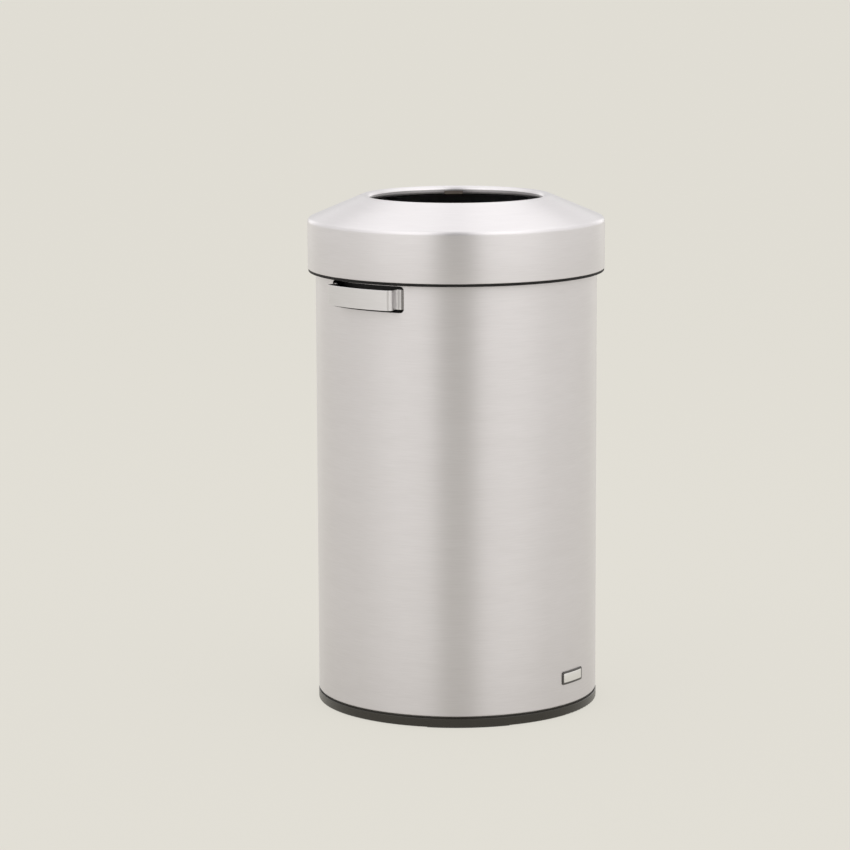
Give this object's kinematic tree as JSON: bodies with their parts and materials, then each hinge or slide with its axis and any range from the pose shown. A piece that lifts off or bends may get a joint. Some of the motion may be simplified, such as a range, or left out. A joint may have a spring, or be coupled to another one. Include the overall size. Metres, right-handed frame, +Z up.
{
  "type": "trash receptacle",
  "caption": "Round open-top trash receptacle: brushed steel body with grip handles, spun lid with a rolled mouth, lift-out rigid liner and a moulded base ring.",
  "frame": {"origin": "on the floor at the centre of the body", "axes": "+Z up along the body's axis; the front with its badge faces -Y; the handles are on -X and +X"},
  "size_m": [0.45, 0.436, 0.752],
  "materials": {
    "stainless": "fine brushed, satin",
    "plain_steel": "mill finish",
    "screw_steel": "zinc plated",
    "base_plastic": "fine moulded texture",
    "black_plastic": "fine moulded texture",
    "liner_plastic": "moulded, slightly waxy",
    "clip_plastic": "moulded",
    "pad_rubber": "matte rubber"
  },
  "bodies": {
    "body": {"body_shell": "stainless", "floor_pan": "plain_steel", "base_ring": "base_plastic", "base_screws": "screw_steel", "liner_seat_ring": "black_plastic", "right_handle": "stainless", "left_handle": "stainless", "foot_pad_rear_right": "pad_rubber", "foot_pad_rear_left": "pad_rubber", "foot_pad_front_left": "pad_rubber", "foot_pad_front_right": "pad_rubber"},
    "liner": {"rigid_liner": "liner_plastic"},
    "lid": {"lid_shell": "stainless", "lid_ring": "black_plastic", "lid_tabs": "plain_steel", "lid_screws": "screw_steel", "rim_clip": "clip_plastic"}
  },
  "joints": [
    {"name": "liner_lift", "type": "slide", "parent": "body", "child": "liner", "axis": [0, 0, 1], "range_m": [0, 0.7]},
    {"name": "lid_lift", "type": "slide", "parent": "liner", "child": "lid", "axis": [0, 0, 1], "range_m": [0, 0.15]}
  ]
}
